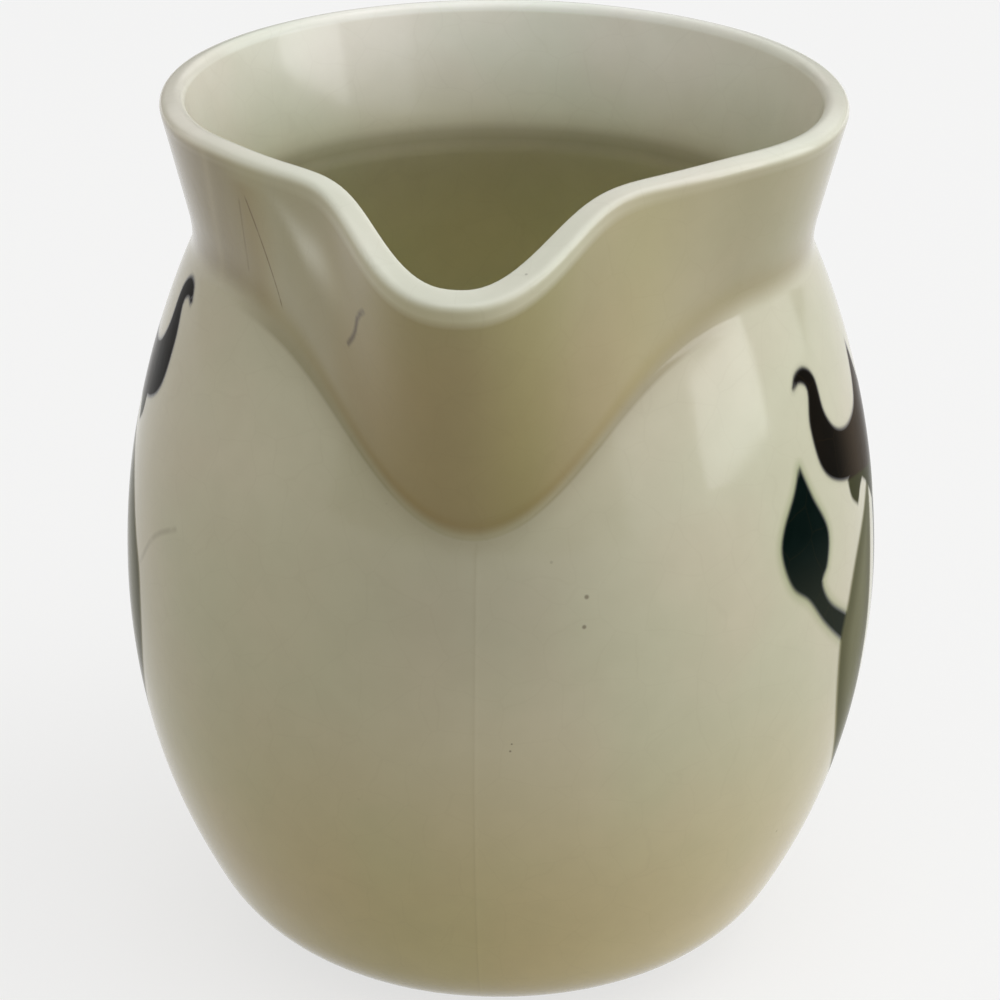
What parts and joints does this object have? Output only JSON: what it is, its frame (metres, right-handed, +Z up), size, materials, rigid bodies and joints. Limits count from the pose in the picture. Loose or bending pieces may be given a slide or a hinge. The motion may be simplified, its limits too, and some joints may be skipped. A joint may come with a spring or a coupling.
{
  "type": "pitcher",
  "caption": "Glazed earthenware pitcher with a round belly, flared neck, wide V-shaped spout and loop handle, for pouring water, milk or wine at table.",
  "frame": {"origin": "centre of the foot ring's standing face, on the pot's own axis", "axes": "+Z up along the pot's axis, spout towards -Y, handle towards +Y, +X to the pourer's right seen from the spout's side"},
  "size_m": [0.1416, 0.191, 0.1676],
  "materials": {
    "ivory_glaze": "glossy ivory glaze with fine crazing and a sprayed plum flower with green leaves",
    "seam_slip": "slip joint under the same glossy glaze",
    "bare_clay": "matt, unglazed buff clay"
  },
  "bodies": {
    "root": {"body_left_half": "ivory_glaze", "body_right_half": "ivory_glaze", "front_seam_slip": "seam_slip", "back_seam_slip": "seam_slip", "base_floor": "ivory_glaze", "foot_ring": "bare_clay", "neck_collar": "ivory_glaze", "spout": "ivory_glaze", "handle_grip": "ivory_glaze", "handle_upper_terminal": "ivory_glaze", "handle_lower_terminal": "ivory_glaze"}
  },
  "joints": []
}
